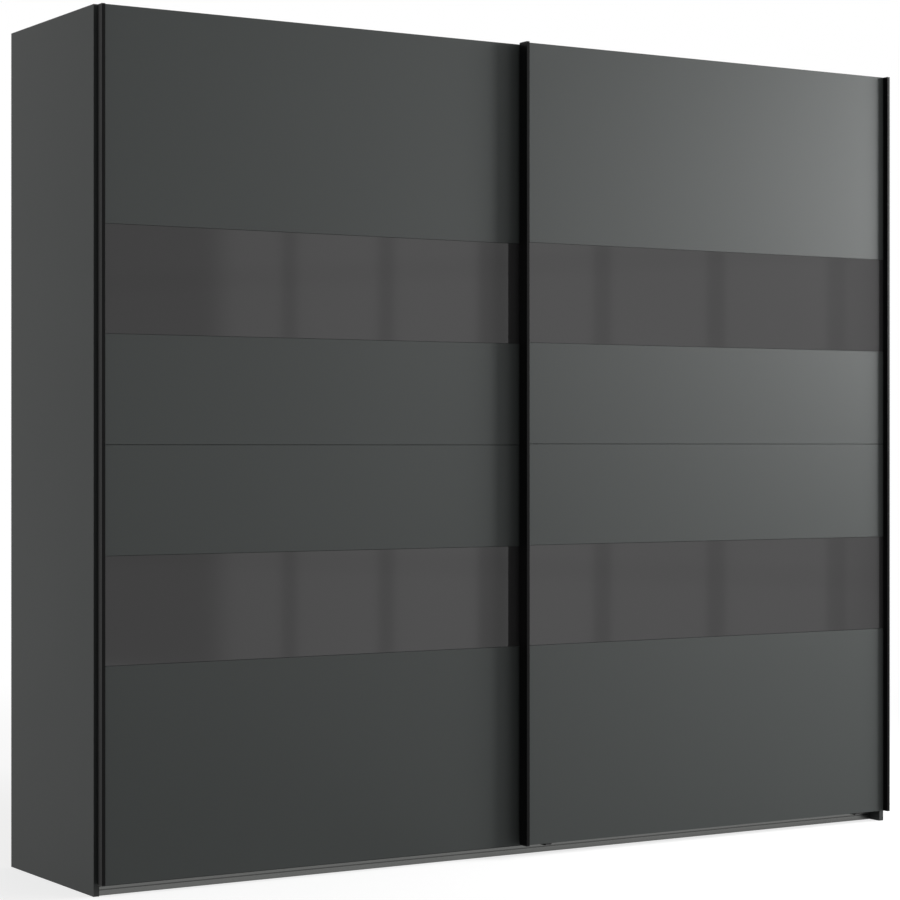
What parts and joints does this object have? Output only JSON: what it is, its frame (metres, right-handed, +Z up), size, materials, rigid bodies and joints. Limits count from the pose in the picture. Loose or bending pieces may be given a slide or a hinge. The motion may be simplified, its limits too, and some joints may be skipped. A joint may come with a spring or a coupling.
{
  "type": "sliding door wardrobe",
  "caption": "Wide sliding door wardrobe in matt graphite board with dark glass bands and black upright handle bars; its top-hung doors run past each other.",
  "frame": {"origin": "on the floor, under the middle of the overall box", "axes": "+X along the wardrobe's width to the right as seen from the front, +Y from the doors to the back, +Z up"},
  "size_m": [2.7, 0.65, 2.3596],
  "materials": {
    "graphite_board": "matt melamine, graphite",
    "back_board": "matt thin hardboard, graphite",
    "dark_glass": "gloss, painted from behind",
    "black_aluminium": "satin black anodised",
    "aluminium": "satin anodised",
    "steel": "zinc plated",
    "black_steel": "matt black powder coat",
    "black_plastic": "matt black"
  },
  "bodies": {
    "carcass": {"left_side": "graphite_board", "right_side": "graphite_board", "right_closing_strip": "graphite_board", "partition": "graphite_board", "plinth": "graphite_board", "shelf_angles": "steel", "left_bottom_panel": "graphite_board", "left_top_panel": "graphite_board", "left_shelf": "graphite_board", "left_clothes_rail": "steel", "right_bottom_panel": "graphite_board", "right_top_panel": "graphite_board", "right_shelf": "graphite_board", "right_clothes_rail": "steel", "clothes_rail_sockets": "black_plastic", "clothes_rail_supports": "steel", "back_panel_1": "back_board", "back_panel_2": "back_board", "back_panel_3": "back_board", "back_panel_4": "back_board", "back_strips": "black_plastic", "top_track": "aluminium", "track_stops": "black_plastic", "guide_rail": "aluminium", "wall_brackets": "steel"},
    "left_door": {"left_door_lower_board": "graphite_board", "left_door_lower_glass": "dark_glass", "left_door_upper_board": "graphite_board", "left_door_upper_glass": "dark_glass", "left_door_left_bar": "black_aluminium", "left_door_right_bar": "black_aluminium", "left_door_bar_caps": "black_plastic", "left_door_joint_strap": "black_steel", "left_door_hangers": "steel", "left_door_axles": "steel", "left_door_guides": "black_steel", "left_door_gliders": "black_plastic"},
    "left_door_roller_1": {"left_door_roller_1": "black_plastic"},
    "left_door_roller_2": {"left_door_roller_2": "black_plastic"},
    "right_door": {"right_door_lower_board": "graphite_board", "right_door_lower_glass": "dark_glass", "right_door_upper_board": "graphite_board", "right_door_upper_glass": "dark_glass", "right_door_left_bar": "black_aluminium", "right_door_right_bar": "black_aluminium", "right_door_bar_caps": "black_plastic", "right_door_joint_strap": "black_steel", "right_door_hangers": "steel", "right_door_axles": "steel", "right_door_guides": "black_steel", "right_door_gliders": "black_plastic"},
    "right_door_roller_1": {"right_door_roller_1": "black_plastic"},
    "right_door_roller_2": {"right_door_roller_2": "black_plastic"}
  },
  "joints": [
    {"name": "left_door_slide", "type": "slide", "parent": "carcass", "child": "left_door", "axis": [1, 0, 0], "range_m": [0, 1.27]},
    {"name": "left_door_roller_1_spin", "type": "hinge", "parent": "left_door", "child": "left_door_roller_1", "pos_m": [-1.2225, -0.229, 2.3193], "axis": [0, 1, 0], "range_deg": [0, 5600]},
    {"name": "left_door_roller_2_spin", "type": "hinge", "parent": "left_door", "child": "left_door_roller_2", "pos_m": [-0.0875, -0.229, 2.3193], "axis": [0, 1, 0], "range_deg": [0, 5600]},
    {"name": "right_door_slide", "type": "slide", "parent": "carcass", "child": "right_door", "axis": [1, 0, 0], "range_m": [-1.27, 0]},
    {"name": "right_door_roller_1_spin", "type": "hinge", "parent": "right_door", "child": "right_door_roller_1", "pos_m": [0.0875, -0.199, 2.3193], "axis": [0, 1, 0], "range_deg": [-5600, 0]},
    {"name": "right_door_roller_2_spin", "type": "hinge", "parent": "right_door", "child": "right_door_roller_2", "pos_m": [1.2225, -0.199, 2.3193], "axis": [0, 1, 0], "range_deg": [-5600, 0]}
  ],
  "couplings": [
    {"joint": "left_door_roller_1_spin", "follows": "left_door_slide", "rad_per_m": 76.923},
    {"joint": "left_door_roller_2_spin", "follows": "left_door_slide", "rad_per_m": 76.923},
    {"joint": "right_door_roller_1_spin", "follows": "right_door_slide", "rad_per_m": 76.923},
    {"joint": "right_door_roller_2_spin", "follows": "right_door_slide", "rad_per_m": 76.923}
  ]
}
